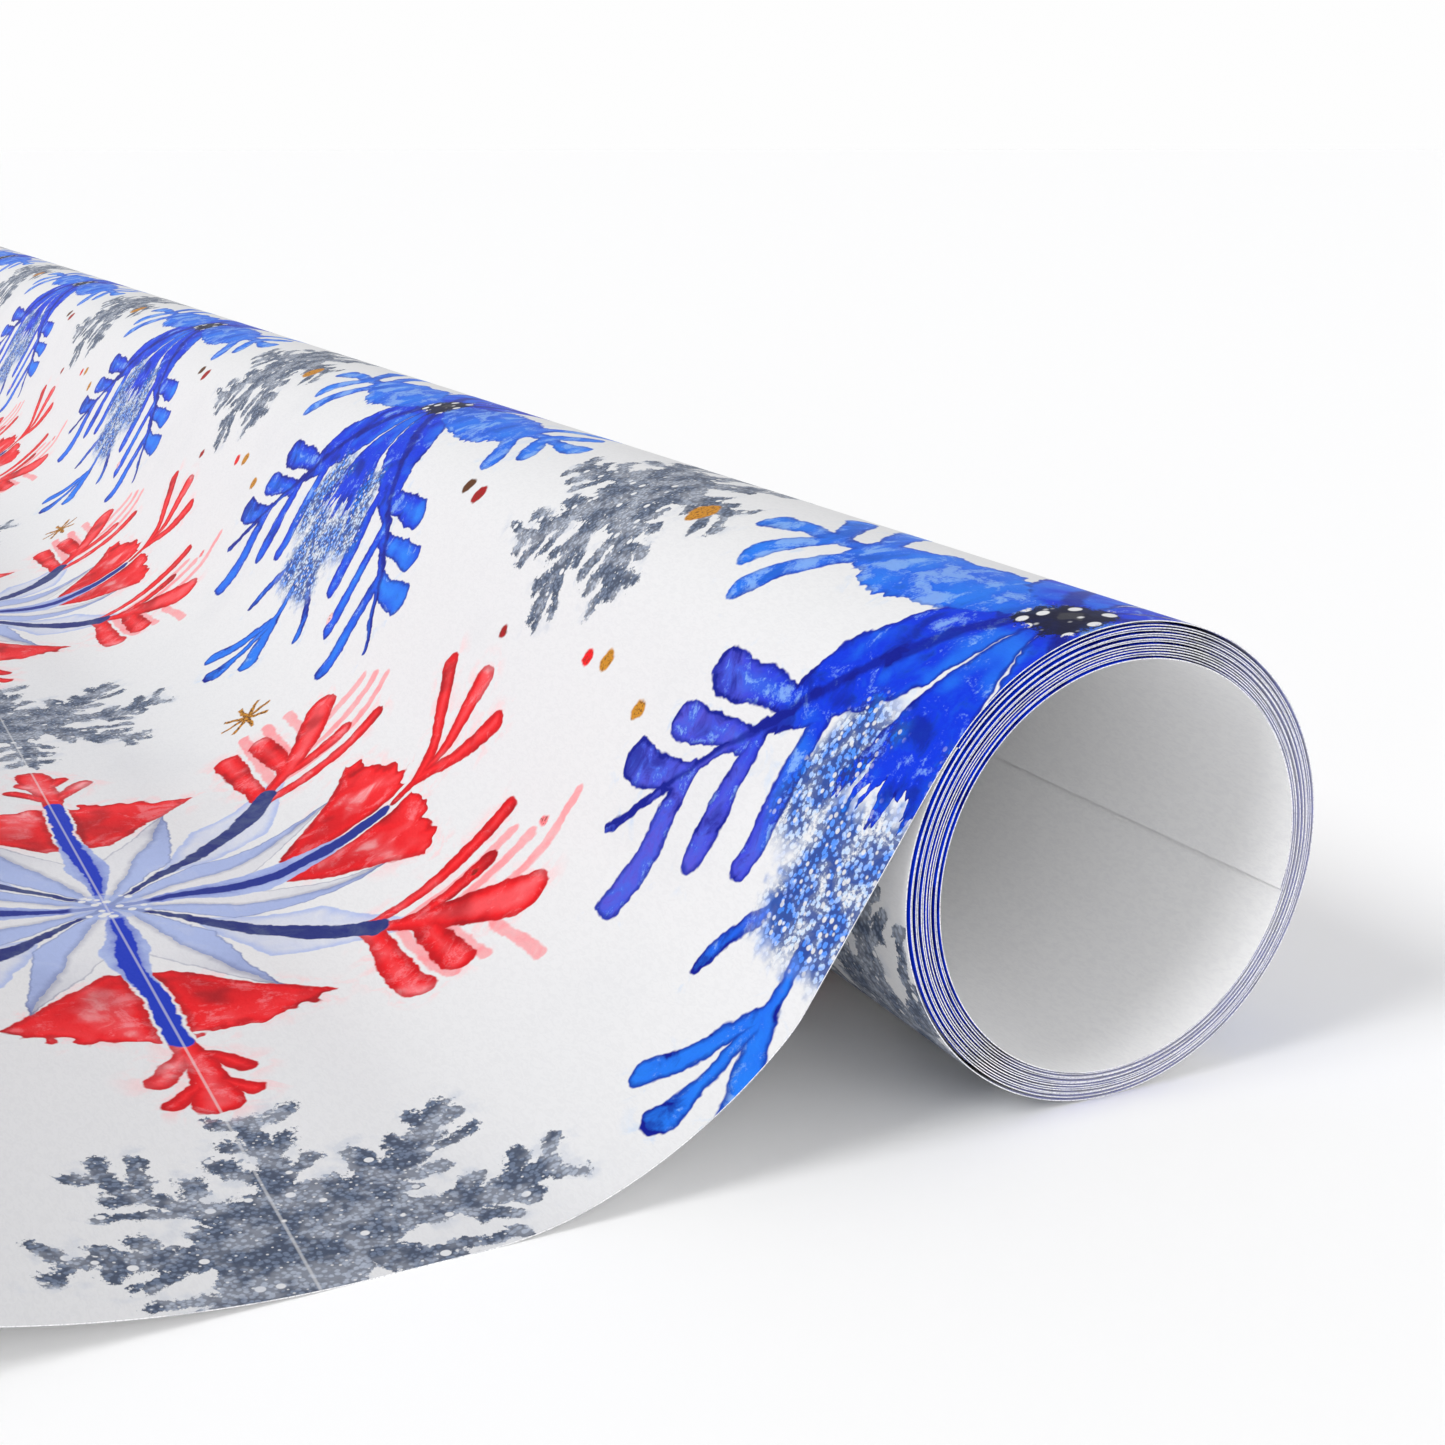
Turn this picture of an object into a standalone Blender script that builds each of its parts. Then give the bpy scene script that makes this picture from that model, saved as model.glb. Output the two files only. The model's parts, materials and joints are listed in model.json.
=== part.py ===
"""A coreless roll of gift wrapping paper with its free leaf run out flat.

The whole object is one long sheet of thin paper. It is divided where it bends or slips when the
roll is handled: into the turns of the coil, the drop from the coil to the table, and the panels of
the leaf. Each of them is a thin curved solid of the paper's own thickness.

Frame: metres, +Z up, +Y along the roll. The leaf runs out towards -X, and the origin is under the
middle of the object, on the table.
"""

from math import cos, pi, radians, sin

import bmesh
import bpy
from mathutils import Vector

# The sheet, before it was rolled.
SHEET_WIDTH = 0.762
SHEET_LENGTH = 1.829
PAPER = 0.00009

# The coil, from the outside in. Angles are counterclockwise from +X, looking along +Y.
ROLL_RADIUS = 0.0212
HOLLOW_RADIUS = 0.0180
LEAF_LEAVES_AT = 142.5
INNER_EDGE_AT = -15.0
WHOLE_TURNS = 13
SLIP_GAP = 0.00014
FACET = 7.5

# The leaf, from the coil outwards. A bend is (its length, its fall at the far end), where the fall
# is the angle below the horizontal, and the leaf leaves the coil along its tangent.
LEAVING_FALL = LEAF_LEAVES_AT - 90.0
STEEPEST_FALL = 57.0
STEEPEN = (0.0042, STEEPEST_FALL)
TURN_IN = (0.0030, 45.0)
SWEEP = (0.0190, 20.0)
TOUCH_DOWN = (0.0095, 0.0)
LANDING_LENGTH = 0.0085
RUCK_SIDE = 0.0270
RUCK_CREST = 0.0350
RUCK_SLOPE = 15.5
LEAF_PANELS = 5
BEND_STEP = 0.0014

# Two neighbouring pieces of the sheet are parted by this much, so that their ends stay clear.
CUT = 0.0003

PRINT_BLUE = (0.09, 0.16, 0.72, 1.0)
PRINT_PALE = (0.62, 0.70, 0.86, 1.0)
BACK_WHITE = (0.84, 0.84, 0.85, 1.0)
PAPER_ROUGHNESS = 0.55

COIL_TURNS = WHOLE_TURNS + (LEAF_LEAVES_AT - INNER_EDGE_AT) / 360.0
PITCH = (ROLL_RADIUS - HOLLOW_RADIUS - PAPER - SLIP_GAP) / COIL_TURNS


def coil_radius(angle):
    """Radius of the paper's middle, angle degrees in along the sheet from where the leaf leaves."""
    slip = SLIP_GAP if angle > 360.0 else 0.0
    return ROLL_RADIUS - PAPER / 2 - PITCH * angle / 360.0 - slip


AXIS_HEIGHT = coil_radius(LEAF_LEAVES_AT + 90.0) + PAPER / 2


def coil_point(angle):
    """A point on the coil's spiral, in the plane of the roll's end, from the roll's axis."""
    turned = radians(LEAF_LEAVES_AT - angle)
    return Vector((cos(turned), 0.0, sin(turned))) * coil_radius(angle)


def coil_length():
    """Length of the sheet that is wound up in the coil."""
    steps = int(COIL_TURNS * 360.0)
    return sum(coil_radius(k + 0.5) for k in range(steps)) * radians(1.0)


def clear_objects():
    for thing in list(bpy.data.objects):
        bpy.data.objects.remove(thing, do_unlink=True)


def paper_material(name, colour):
    material = bpy.data.materials.new(name)
    material.use_nodes = True
    shader = material.node_tree.nodes["Principled BSDF"]
    shader.inputs["Base Color"].default_value = colour
    shader.inputs["Roughness"].default_value = PAPER_ROUGHNESS
    shader.inputs["Metallic"].default_value = 0.0
    material.diffuse_color = colour
    return material


def paper_piece(name, points, origin, colour, parent=None):
    """A strip of the sheet, as wide as the roll, bent along points and given the paper's thickness."""
    form = bmesh.new()
    near = Vector((0.0, -SHEET_WIDTH / 2, 0.0))
    line = [form.verts.new(point - origin + near) for point in points]
    edges = [form.edges.new(pair) for pair in zip(line, line[1:])]
    swept = bmesh.ops.extrude_edge_only(form, edges=edges)
    far_line = [item for item in swept["geom"] if isinstance(item, bmesh.types.BMVert)]
    bmesh.ops.translate(form, verts=far_line, vec=(0.0, SHEET_WIDTH, 0.0))
    bmesh.ops.recalc_face_normals(form, faces=form.faces)
    mesh = bpy.data.meshes.new(name)
    form.to_mesh(mesh)
    form.free()
    mesh.materials.append(paper_material(name + "_paper", colour))
    mesh.shade_smooth()
    piece = bpy.data.objects.new(name, mesh)
    bpy.context.collection.objects.link(piece)
    piece.location = origin
    if parent is not None:
        piece.parent = parent
        piece.matrix_parent_inverse = parent.matrix_world.inverted()
    solid = piece.modifiers.new("paper_thickness", "SOLIDIFY")
    solid.thickness = PAPER
    solid.offset = 0.0
    solid.use_even_offset = True
    return piece


def turn_points(start, end, axis):
    """Points of the coil between two angles, clear of the cuts at both ends."""
    trim = CUT / 2 / coil_radius(start) * 180.0 / pi
    inner = [start + FACET * k for k in range(1, int((end - start) / FACET + 0.999))]
    return [axis + coil_point(angle) for angle in (start + trim, *inner, end - trim)]


def leaf_bends(drop):
    """The leaf's bends from the coil to its free edge, with the straight run that fits the drop."""
    ruck_side_up = (RUCK_SIDE, -RUCK_SLOPE)
    crest = (RUCK_CREST, RUCK_SLOPE)
    ruck_side_down = (RUCK_SIDE, 0.0)
    touching_down = [TURN_IN, SWEEP, TOUCH_DOWN]
    curved_fall = -bend_end([STEEPEN], LEAVING_FALL).z - bend_end(touching_down, STEEPEST_FALL).z
    straight = ((drop - curved_fall) / sin(radians(STEEPEST_FALL)), STEEPEST_FALL)
    bends = [STEEPEN, straight, *touching_down]
    bends += [(LANDING_LENGTH, 0.0), ruck_side_up, crest, ruck_side_down]
    tail = SHEET_LENGTH - coil_length() - sum(length for length, fall in bends)
    return bends + [(tail, 0.0)]


def bend_end(bends, fall):
    """How far a row of bends carries the sheet from its start."""
    return walk(bends, fall)[-1][1]


def walk(bends, fall):
    """The sheet's line through the bends, as (distance along it, point), from the origin."""
    reached = 0.0
    place = Vector((0.0, 0.0, 0.0))
    line = [(reached, place.copy())]
    for length, end_fall in bends:
        steps = max(1, round(length / BEND_STEP)) if end_fall != fall else 1
        for k in range(steps):
            angle = radians(fall + (end_fall - fall) * (k + 0.5) / steps)
            place -= Vector((cos(angle), 0.0, sin(angle))) * (length / steps)
            reached += length / steps
            line.append((reached, place.copy()))
        fall = end_fall
    return line


def between(line, start, end):
    """The part of a walked line from one distance to another, with exact end points."""
    inside = [point for reached, point in line if start + 1e-6 < reached < end - 1e-6]
    return [at_distance(line, start), *inside, at_distance(line, end)]


def at_distance(line, distance):
    for (here, point), (there, following) in zip(line, line[1:]):
        if distance <= there:
            return point.lerp(following, (distance - here) / (there - here))
    return line[-1][1]


def build_leaf(start, bends, names_and_lengths):
    """The leaf's pieces in order from the coil. Each hangs on the one before it, at its hinge line."""
    line = [(reached, start + point) for reached, point in walk(bends, LEAVING_FALL)]
    reached = 0.0
    parent = bpy.data.objects["turn_01"]
    for name, length, colour in names_and_lengths:
        hinge = at_distance(line, reached)
        last = reached + length >= line[-1][0] - 1e-6
        end = line[-1][0] if last else reached + length - CUT / 2
        points = between(line, reached + CUT / 2, end)
        parent = paper_piece(name, points, hinge, colour, parent)
        bpy.context.view_layer.update()
        reached += length


def build_coil(axis):
    """The turns from the outside in. Each one rides inside, and slides along, the one around it."""
    parent = None
    for k in range(WHOLE_TURNS):
        points = turn_points(360.0 * k, 360.0 * (k + 1), axis)
        colour = PRINT_BLUE if k == 0 else BACK_WHITE
        parent = paper_piece(f"turn_{k + 1:02d}", points, axis, colour, parent)
        bpy.context.view_layer.update()
    points = turn_points(360.0 * WHOLE_TURNS, 360.0 * COIL_TURNS, axis)
    paper_piece("inner_end", points, axis, BACK_WHITE, parent)


def main():
    clear_objects()
    start = coil_point(0.0)
    bends = leaf_bends(AXIS_HEIGHT + start.z - PAPER / 2)
    reach = -(start + bend_end(bends, LEAVING_FALL)).x
    middle = (reach - coil_radius(LEAF_LEAVES_AT) - PAPER / 2) / 2
    axis = Vector((middle, 0.0, AXIS_HEIGHT))
    build_coil(axis)
    lengths = [length for length, fall in bends]
    near_coil = [
        ("leaf_drop", sum(lengths[:2]), PRINT_BLUE),
        ("leaf_sweep", sum(lengths[2:5]), PRINT_BLUE),
        ("leaf_landing", LANDING_LENGTH, PRINT_PALE),
    ]
    panel = sum(lengths[6:]) / LEAF_PANELS
    panels = [(f"leaf_panel_{k + 1}", panel, PRINT_PALE) for k in range(LEAF_PANELS)]
    build_leaf(axis + start, bends, near_coil + panels)


main()
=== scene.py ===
"""The looks of a roll of gift wrap with its free leaf run out.

The whole object is one printed sheet. Each piece here is a length of it: a closed strip as thin as
the paper, printed on one side and bare on the other, that stands for the CAD nodes it covers.
Metres and degrees, in the CAD's frame: +Y runs along the roll, and the leaf runs out towards -X.
"""

import json
from math import cos, pi, radians, sin

import bmesh
import bpy
from mathutils import Euler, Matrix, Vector


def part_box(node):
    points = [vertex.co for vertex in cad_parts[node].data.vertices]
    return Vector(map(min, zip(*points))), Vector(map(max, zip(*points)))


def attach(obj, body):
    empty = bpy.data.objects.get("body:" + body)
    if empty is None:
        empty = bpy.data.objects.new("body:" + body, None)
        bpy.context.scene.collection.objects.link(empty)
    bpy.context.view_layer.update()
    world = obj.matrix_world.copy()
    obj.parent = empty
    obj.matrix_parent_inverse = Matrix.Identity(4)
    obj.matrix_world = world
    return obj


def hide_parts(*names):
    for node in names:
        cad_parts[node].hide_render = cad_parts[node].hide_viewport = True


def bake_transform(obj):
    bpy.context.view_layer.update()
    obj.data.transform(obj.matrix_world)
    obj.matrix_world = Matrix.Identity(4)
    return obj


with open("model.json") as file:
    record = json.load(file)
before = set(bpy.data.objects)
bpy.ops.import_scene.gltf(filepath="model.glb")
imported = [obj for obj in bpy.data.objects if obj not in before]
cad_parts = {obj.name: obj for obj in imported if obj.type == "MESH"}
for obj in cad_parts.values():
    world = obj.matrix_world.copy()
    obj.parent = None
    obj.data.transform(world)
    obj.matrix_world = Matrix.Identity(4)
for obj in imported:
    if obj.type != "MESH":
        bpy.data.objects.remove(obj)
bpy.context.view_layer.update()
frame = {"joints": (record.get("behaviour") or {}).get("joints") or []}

MM = 0.001

# The sheet, as the CAD winds it. Angles are counterclockwise from +X, looking along +Y.
PAPER = 0.09 * MM
ROLL_RADIUS = 21.2 * MM
HOLLOW_RADIUS = 18.0 * MM
SLIP_GAP = 0.14 * MM
LEAF_LEAVES_AT = 142.5
INNER_EDGE_AT = -15.0
WHOLE_TURNS = 13
COIL_TURNS = WHOLE_TURNS + (LEAF_LEAVES_AT - INNER_EDGE_AT) / 360.0
PITCH = (ROLL_RADIUS - HOLLOW_RADIUS - PAPER - SLIP_GAP) / COIL_TURNS
SHEET_LENGTH = 1829.0 * MM

# The leaf's bends from the coil out, each its length and its fall below the horizontal at the end.
LEAVING_FALL = LEAF_LEAVES_AT - 90.0
STEEPEST_FALL = 57.0
STEEPEN = (4.2 * MM, STEEPEST_FALL)
TOUCHING_DOWN = [(3.0 * MM, 45.0), (19.0 * MM, 20.0), (9.5 * MM, 0.0)]
LANDING = (8.5 * MM, 0.0)
RUCK = [(27.0 * MM, -15.5), (35.0 * MM, 15.5), (27.0 * MM, 0.0)]
BENDS_BEFORE_LANDING = 2 + len(TOUCHING_DOWN)
LEAF_PANELS = 5

# How finely the strips are drawn: degrees of the coil, metres of the leaf, and columns across.
COIL_STEP = 1.5
LEAF_STEP = 0.9 * MM
SHOWN_COLUMNS = 24
WOUND_COLUMNS = 8

# Small enough to count as nothing, in degrees and in metres.
HAIR = 1e-6

# How unevenly the real sheet winds. A wave is radians per metre along the sheet, radians per metre
# across it, and radians at its start.
LOOSENESS = 0.030 * MM
LOOSE_WAVES = [(61.0, 5.0, 0.0), (173.0, -11.0, 2.0)]
UNEVEN_ENDS = 0.12 * MM
UNEVEN_WAVE = (23.0, 1.0)
STANDS_OUT = 0.045 * MM
END_LIFT = 0.16 * MM
END_LIFT_LENGTH = 5.0 * MM


# ---------------------------------------------------------------- the sheet's line


def joint_place(name):
    """The point that a joint's axis goes through."""
    return Vector(next(joint for joint in frame["joints"] if joint["name"] == name)["pos_m"])


AXIS = joint_place("roll_spin")
NEAR_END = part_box("turn_01")[0].y
FAR_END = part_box("turn_01")[1].y
SHEET_WIDTH = FAR_END - NEAR_END


def coil_radius(angle):
    """Radius of the paper's middle, angle degrees in along the sheet from where the leaf leaves."""
    slip = SLIP_GAP if angle > 360.0 else 0.0
    return ROLL_RADIUS - PAPER / 2 - PITCH * angle / 360.0 - slip


def coil_length(angle):
    """Length of the sheet wound in the coil's first angle degrees."""
    slipped = SLIP_GAP * max(0.0, angle - 360.0)
    return radians((ROLL_RADIUS - PAPER / 2) * angle - PITCH * angle * angle / 720.0 - slipped)


def coil_stations(start, end):
    """The sheet from one angle of the coil to another: (distance along it, place, outward normal)."""
    count = max(2, round(abs(end - start) / COIL_STEP))
    stations = []
    for k in range(count + 1):
        angle = start + (end - start) * k / count
        # The slip gap is a step in the radius, so an end keeps to its own side of it.
        inside = min(max(angle, min(start, end) + HAIR), max(start, end) - HAIR)
        turned_to = radians(LEAF_LEAVES_AT - angle)
        outward = Vector((cos(turned_to), 0.0, sin(turned_to)))
        stations.append((-coil_length(angle), AXIS + outward * coil_radius(inside), outward))
    return stations


def walked(bends, fall, step):
    """A row of bends, from the origin: (distance along it, place, fall) at each step."""
    reached = 0.0
    place = Vector((0.0, 0.0, 0.0))
    line = [(reached, place.copy(), fall)]
    for span, end_fall in bends:
        count = max(1, round(span / step))
        for k in range(count):
            angle = radians(fall + (end_fall - fall) * (k + 0.5) / count)
            place -= Vector((cos(angle), 0.0, sin(angle))) * (span / count)
            reached += span / count
            line.append((reached, place.copy(), fall + (end_fall - fall) * (k + 1) / count))
        fall = end_fall
    return line


def leaf_bends(drop):
    """All the bends of the leaf, with the straight run that brings it down onto the table."""
    curved = -walked([STEEPEN], LEAVING_FALL, LEAF_STEP)[-1][1].z
    curved -= walked(TOUCHING_DOWN, STEEPEST_FALL, LEAF_STEP)[-1][1].z
    straight = ((drop - curved) / sin(radians(STEEPEST_FALL)), STEEPEST_FALL)
    bends = [STEEPEN, straight, *TOUCHING_DOWN, LANDING, *RUCK]
    tail = SHEET_LENGTH - coil_length(COIL_TURNS * 360.0) - sum(span for span, fall in bends)
    return bends + [(tail, 0.0)]


LEAF_START = coil_stations(0.0, COIL_STEP)[0][1]
LEAF_BENDS = leaf_bends(LEAF_START.z - PAPER / 2)
LEAF_LINE = [
    (reached, LEAF_START + place, Vector((-sin(radians(fall)), 0.0, cos(radians(fall)))))
    for reached, place, fall in walked(LEAF_BENDS, LEAVING_FALL, LEAF_STEP)
]
LEAF_LENGTH = LEAF_LINE[-1][0]
LANDING_START = sum(span for span, fall in LEAF_BENDS[:BENDS_BEFORE_LANDING])
LANDING_END = LANDING_START + LANDING[0]
PANEL_LENGTH = (LEAF_LENGTH - LANDING_END) / LEAF_PANELS


def leaf_station(distance):
    """The sheet at one distance from where the leaf leaves the coil."""
    for (here, place, normal), (there, next_place, next_normal) in zip(LEAF_LINE, LEAF_LINE[1:]):
        if distance <= there:
            part = (distance - here) / (there - here)
            return distance, place.lerp(next_place, part), normal.lerp(next_normal, part).normalized()
    return LEAF_LINE[-1]


def leaf_stations(start, end):
    """The sheet between two distances from where the leaf leaves the coil."""
    inside = [station for station in LEAF_LINE if start + HAIR < station[0] < end - HAIR]
    return [leaf_station(start), *inside, leaf_station(end)]


# ---------------------------------------------------------------- strips of the sheet


COIL_LENGTH = coil_length(COIL_TURNS * 360.0)
OUTER_TURN_LENGTH = coil_length(360.0)

# A strip's material slots.
FRONT, BACK, EDGE = range(3)


def looseness(distance, across):
    """How far the wound paper stands off its ideal spiral. It never reaches the next turn."""
    if distance > -OUTER_TURN_LENGTH:
        return 0.0
    wander = sum(sin(distance * along + across * aside + start) for along, aside, start in LOOSE_WAVES)
    from_end = distance + COIL_LENGTH
    lift = END_LIFT * max(0.0, 1.0 - from_end / END_LIFT_LENGTH) ** 2
    return LOOSENESS * wander / len(LOOSE_WAVES) - lift


def standing_out(distance):
    """How far the wound sheet stands out of the roll's near end: inner turns more, and unevenly."""
    turns_in = max(0.0, -OUTER_TURN_LENGTH - distance) / OUTER_TURN_LENGTH
    along, start = UNEVEN_WAVE
    return STANDS_OUT * turns_in + UNEVEN_ENDS * min(1.0, turns_in) * sin(distance * along + start)


def strip(name, stations, columns, faces):
    """A closed length of the sheet, with each point's place on the flat sheet as an attribute.

    faces are the materials of its printed face, its bare face and its cut edges."""
    form = bmesh.new()
    flat_place = form.verts.layers.float_vector.new("sheet_place")
    rows = []
    for distance, place, normal in stations:
        row = []
        for column in range(columns + 1):
            across = SHEET_WIDTH * column / columns
            middle = place + normal * looseness(distance, across)
            middle.y = NEAR_END + across - standing_out(distance)
            pair = []
            for side in (0.5, -0.5):
                vertex = form.verts.new(middle + normal * (PAPER * side))
                vertex[flat_place] = Vector((distance, across, 0.0))
                pair.append(vertex)
            row.append(pair)
        rows.append(row)

    def face(corners, kind):
        made = form.faces.new(corners)
        made.material_index = kind
        made.smooth = kind != EDGE

    def rim(line, first, second):
        for here, there in zip(line, line[1:]):
            face((here[first], here[second], there[second], there[first]), EDGE)

    for row, following in zip(rows, rows[1:]):
        for (a, b), (c, d) in zip(zip(row, row[1:]), zip(following, following[1:])):
            face((a[0], b[0], d[0], c[0]), FRONT)
            face((a[1], c[1], d[1], b[1]), BACK)
    rim([row[0] for row in rows], 1, 0)
    rim([row[-1] for row in rows], 0, 1)
    rim(rows[0], 0, 1)
    rim(rows[-1], 1, 0)
    bmesh.ops.recalc_face_normals(form, faces=form.faces)
    for edge in form.edges:
        kinds = {item.material_index for item in edge.link_faces}
        edge.smooth = kinds in ({FRONT}, {BACK})
    mesh = bpy.data.meshes.new(name)
    form.to_mesh(mesh)
    form.free()
    for material in faces:
        mesh.materials.append(material)
    piece = bpy.data.objects.new(name, mesh)
    bpy.context.collection.objects.link(piece)
    return piece


# ---------------------------------------------------------------- shader arithmetic


class Term:
    """A number in a node tree: a socket, or a plain value. Arithmetic on it adds Math nodes."""

    def __init__(self, tree, value):
        self.tree = tree
        self.value = value

    def math(self, operation, *others):
        node = self.tree.nodes.new("ShaderNodeMath")
        node.operation = operation
        for slot, item in zip(node.inputs, (self, *others)):
            plug(self.tree, slot, item)
        return Term(self.tree, node.outputs[0])

    def __add__(self, other):
        return self.math("ADD", other)

    def __radd__(self, other):
        return self.math("ADD", other)

    def __sub__(self, other):
        return self.math("SUBTRACT", other)

    def __rsub__(self, other):
        return Term(self.tree, other).math("SUBTRACT", self)

    def __mul__(self, other):
        return self.math("MULTIPLY", other)

    def __truediv__(self, other):
        return self.math("DIVIDE", other)

    def __neg__(self):
        return self.math("MULTIPLY", -1.0)

    def __abs__(self):
        return self.math("ABSOLUTE")


def plug(tree, slot, item):
    """Links a socket or a term to a slot, or sets the slot to a plain value."""
    if isinstance(item, Term):
        item = item.value
    if isinstance(item, bpy.types.NodeSocket):
        tree.links.new(item, slot)
    else:
        slot.default_value = item


def least(a, b):
    return a.math("MINIMUM", b)


def most(a, b):
    return a.math("MAXIMUM", b)


def held(a, low, high):
    return least(most(a, low), high)


def share(a):
    """a, held between 0 and 1."""
    return held(a, 0.0, 1.0)


def length(a, b):
    return (a * a + b * b).math("SQRT")


def ramp(a, low, high):
    """0 at low and 1 at high, eased at both."""
    node = a.tree.nodes.new("ShaderNodeMapRange")
    node.interpolation_type = "SMOOTHSTEP"
    plug(a.tree, node.inputs["Value"], a)
    plug(a.tree, node.inputs["From Min"], low)
    plug(a.tree, node.inputs["From Max"], high)
    return Term(a.tree, node.outputs["Result"])


def pick(switch, off, on):
    """off where switch is 0, on where it is 1: two terms, or two plain numbers."""
    if isinstance(off, Term):
        return off + switch * (on - off)
    return switch.math("MULTIPLY_ADD", on - off, off)


def vector(tree, x, y, z):
    node = tree.nodes.new("ShaderNodeCombineXYZ")
    for slot, item in zip(node.inputs, (x, y, z)):
        plug(tree, slot, item)
    return node.outputs[0]


def channels(tree, colour):
    """The three numbers in a colour."""
    split = tree.nodes.new("ShaderNodeSeparateColor")
    tree.links.new(colour, split.inputs[0])
    return [Term(tree, out) for out in split.outputs]


def noise_node(tree, place, scale, detail, roughness, distortion):
    node = tree.nodes.new("ShaderNodeTexNoise")
    node.noise_dimensions = "3D"
    tree.links.new(place, node.inputs["Vector"])
    node.inputs["Scale"].default_value = scale
    node.inputs["Detail"].default_value = detail
    node.inputs["Roughness"].default_value = roughness
    node.inputs["Distortion"].default_value = distortion
    return node


def noise(tree, place, scale, detail=2.0, roughness=0.5, distortion=0.0):
    """Cloudy numbers around 0.5."""
    return Term(tree, noise_node(tree, place, scale, detail, roughness, distortion).outputs["Fac"])


def noises(tree, place, scale, detail=2.0, roughness=0.5):
    """Three different cloudy numbers around 0.5."""
    return channels(tree, noise_node(tree, place, scale, detail, roughness, 0.0).outputs["Color"])


def chance(tree, x, y, z):
    """Three random numbers from 0 to 1, the same wherever x, y and z are the same."""
    node = tree.nodes.new("ShaderNodeTexWhiteNoise")
    node.noise_dimensions = "3D"
    tree.links.new(vector(tree, x, y, z), node.inputs["Vector"])
    return channels(tree, node.outputs["Color"])


def cells(tree, place, scale):
    """Distance from the nearest of many scattered points."""
    node = tree.nodes.new("ShaderNodeTexVoronoi")
    tree.links.new(place, node.inputs["Vector"])
    node.inputs["Scale"].default_value = scale
    return Term(tree, node.outputs["Distance"])


def srgb(red, green, blue):
    """A colour from display levels of 0 to 255, as the linear light that the nodes work in."""
    levels = [level / 255 for level in (red, green, blue)]
    light = [level / 12.92 if level <= 0.04045 else ((level + 0.055) / 1.055) ** 2.4 for level in levels]
    return (*light, 1.0)


def paint(tree, under, over, amount, blend="MIX"):
    """A colour: over laid on under by amount."""
    node = tree.nodes.new("ShaderNodeMix")
    node.data_type = "RGBA"
    node.blend_type = blend
    node.clamp_factor = True
    plug(tree, node.inputs[0], amount)
    plug(tree, node.inputs[6], under)
    plug(tree, node.inputs[7], over)
    return node.outputs[2]


# ---------------------------------------------------------------- the print

# Lengths in the print are millimetres on the flat sheet, and places are (along the roll, along the
# sheet). The pattern repeats both ways.
ACROSS_REPEAT = 155.0
ALONG_REPEAT = 168.0
BLUE_AT = (4.2, -15.9)
RED_AT = (84.4, 67.8)
SILVER_AT = (81.0, -13.5)
SLATE_AT = (7.8, 66.5)
STAR_AT = (136.3, 38.8)
STAR_REACH = 4.0
STAR_RAY_WIDTH = 0.45
SEAM_AT = 67.8
SEAM_WIDTH = 0.12
ARMS = 8.0
ARM_ANGLE = 2 * pi / ARMS

WHITE = srgb(225, 225, 226)
CLOUDED_WHITE = srgb(214, 215, 218)
COBALT = srgb(2, 52, 214)
ULTRAMARINE = srgb(0, 18, 138)
AZURE = srgb(34, 124, 236)
PALE_BLUE = srgb(150, 194, 240)
VIOLET = srgb(84, 80, 204)
INK = srgb(16, 18, 40)
SCARLET = srgb(236, 16, 26)
CRIMSON = srgb(166, 6, 20)
PINK = srgb(244, 128, 134)
BLUSH = srgb(246, 196, 198)
NAVY = srgb(36, 46, 118)
ROYAL = srgb(18, 52, 186)
LAVENDER = srgb(166, 182, 226)
SLATE = srgb(100, 114, 138)
SLATE_DARK = srgb(46, 56, 78)
SLATE_LIGHT = srgb(176, 186, 204)
GOLD = srgb(200, 136, 36)
BROWN = srgb(92, 52, 22)

# Small marks of each tile: place along the roll and along the sheet, radius, colour.
DOTS = [
    (66.1, -12.7, 2.0, GOLD),
    (48.1, 10.2, 1.1, GOLD),
    (59.4, 7.4, 1.2, GOLD),
    (63.6, 8.1, 1.0, SCARLET),
    (85.9, 10.2, 0.9, CRIMSON),
    (114.9, -3.2, 1.4, CRIMSON),
    (119.8, -3.8, 1.2, BROWN),
    (54.1, 24.8, 0.7, PINK),
    (58.0, 33.5, 0.5, CRIMSON),
    (139.0, 21.0, 0.8, BLUSH),
]

# The wound turns show little but their edges, so their print is drawn more simply: each flake is a
# soft eight-armed star, given as its place, its radius before it spreads, the depth between its
# arms, and its two colours.
WOUND_FLAKES = [
    (BLUE_AT, 29.0, 0.35, COBALT, ULTRAMARINE),
    ((BLUE_AT[0], BLUE_AT[1] + ALONG_REPEAT / 2), 27.0, 0.35, COBALT, ULTRAMARINE),
    (RED_AT, 26.0, 0.40, SCARLET, CRIMSON),
    (SILVER_AT, 15.0, 0.30, SLATE, SLATE_DARK),
]

# The stars spread further at the near end, where the edges carry more ink. They ease back to their
# usual size between 0.4 and 0.7 mm from it.
SPREAD = 0.8
SPREAD_AT_END = 1.35
SPREAD_EASES = (0.7, 0.4)


def sheet_millimetres(tree, place):
    """A spot on the flat sheet in millimetres: along the sheet, along the roll."""
    split = tree.nodes.new("ShaderNodeSeparateXYZ")
    tree.links.new(place, split.inputs[0])
    return Term(tree, split.outputs[0]) * (1 / MM), Term(tree, split.outputs[1]) * (1 / MM)


def repeated(place, centre, repeat):
    """Place measured from the nearest of a row of centres."""
    turns = (place - centre) / repeat
    return (turns - turns.math("ROUND")) * repeat


def from_nearest(v, u, centre):
    """Place along the roll and along the sheet, measured from the nearest repeat of a centre."""
    return repeated(v, centre[0], ACROSS_REPEAT), repeated(u, centre[1], ALONG_REPEAT)


def quarter_of(x, y):
    """Which quarter of a flake a place is in, from 0 to 3."""
    return x.math("GREATER_THAN", 0.0) + y.math("GREATER_THAN", 0.0) * 2.0


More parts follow.
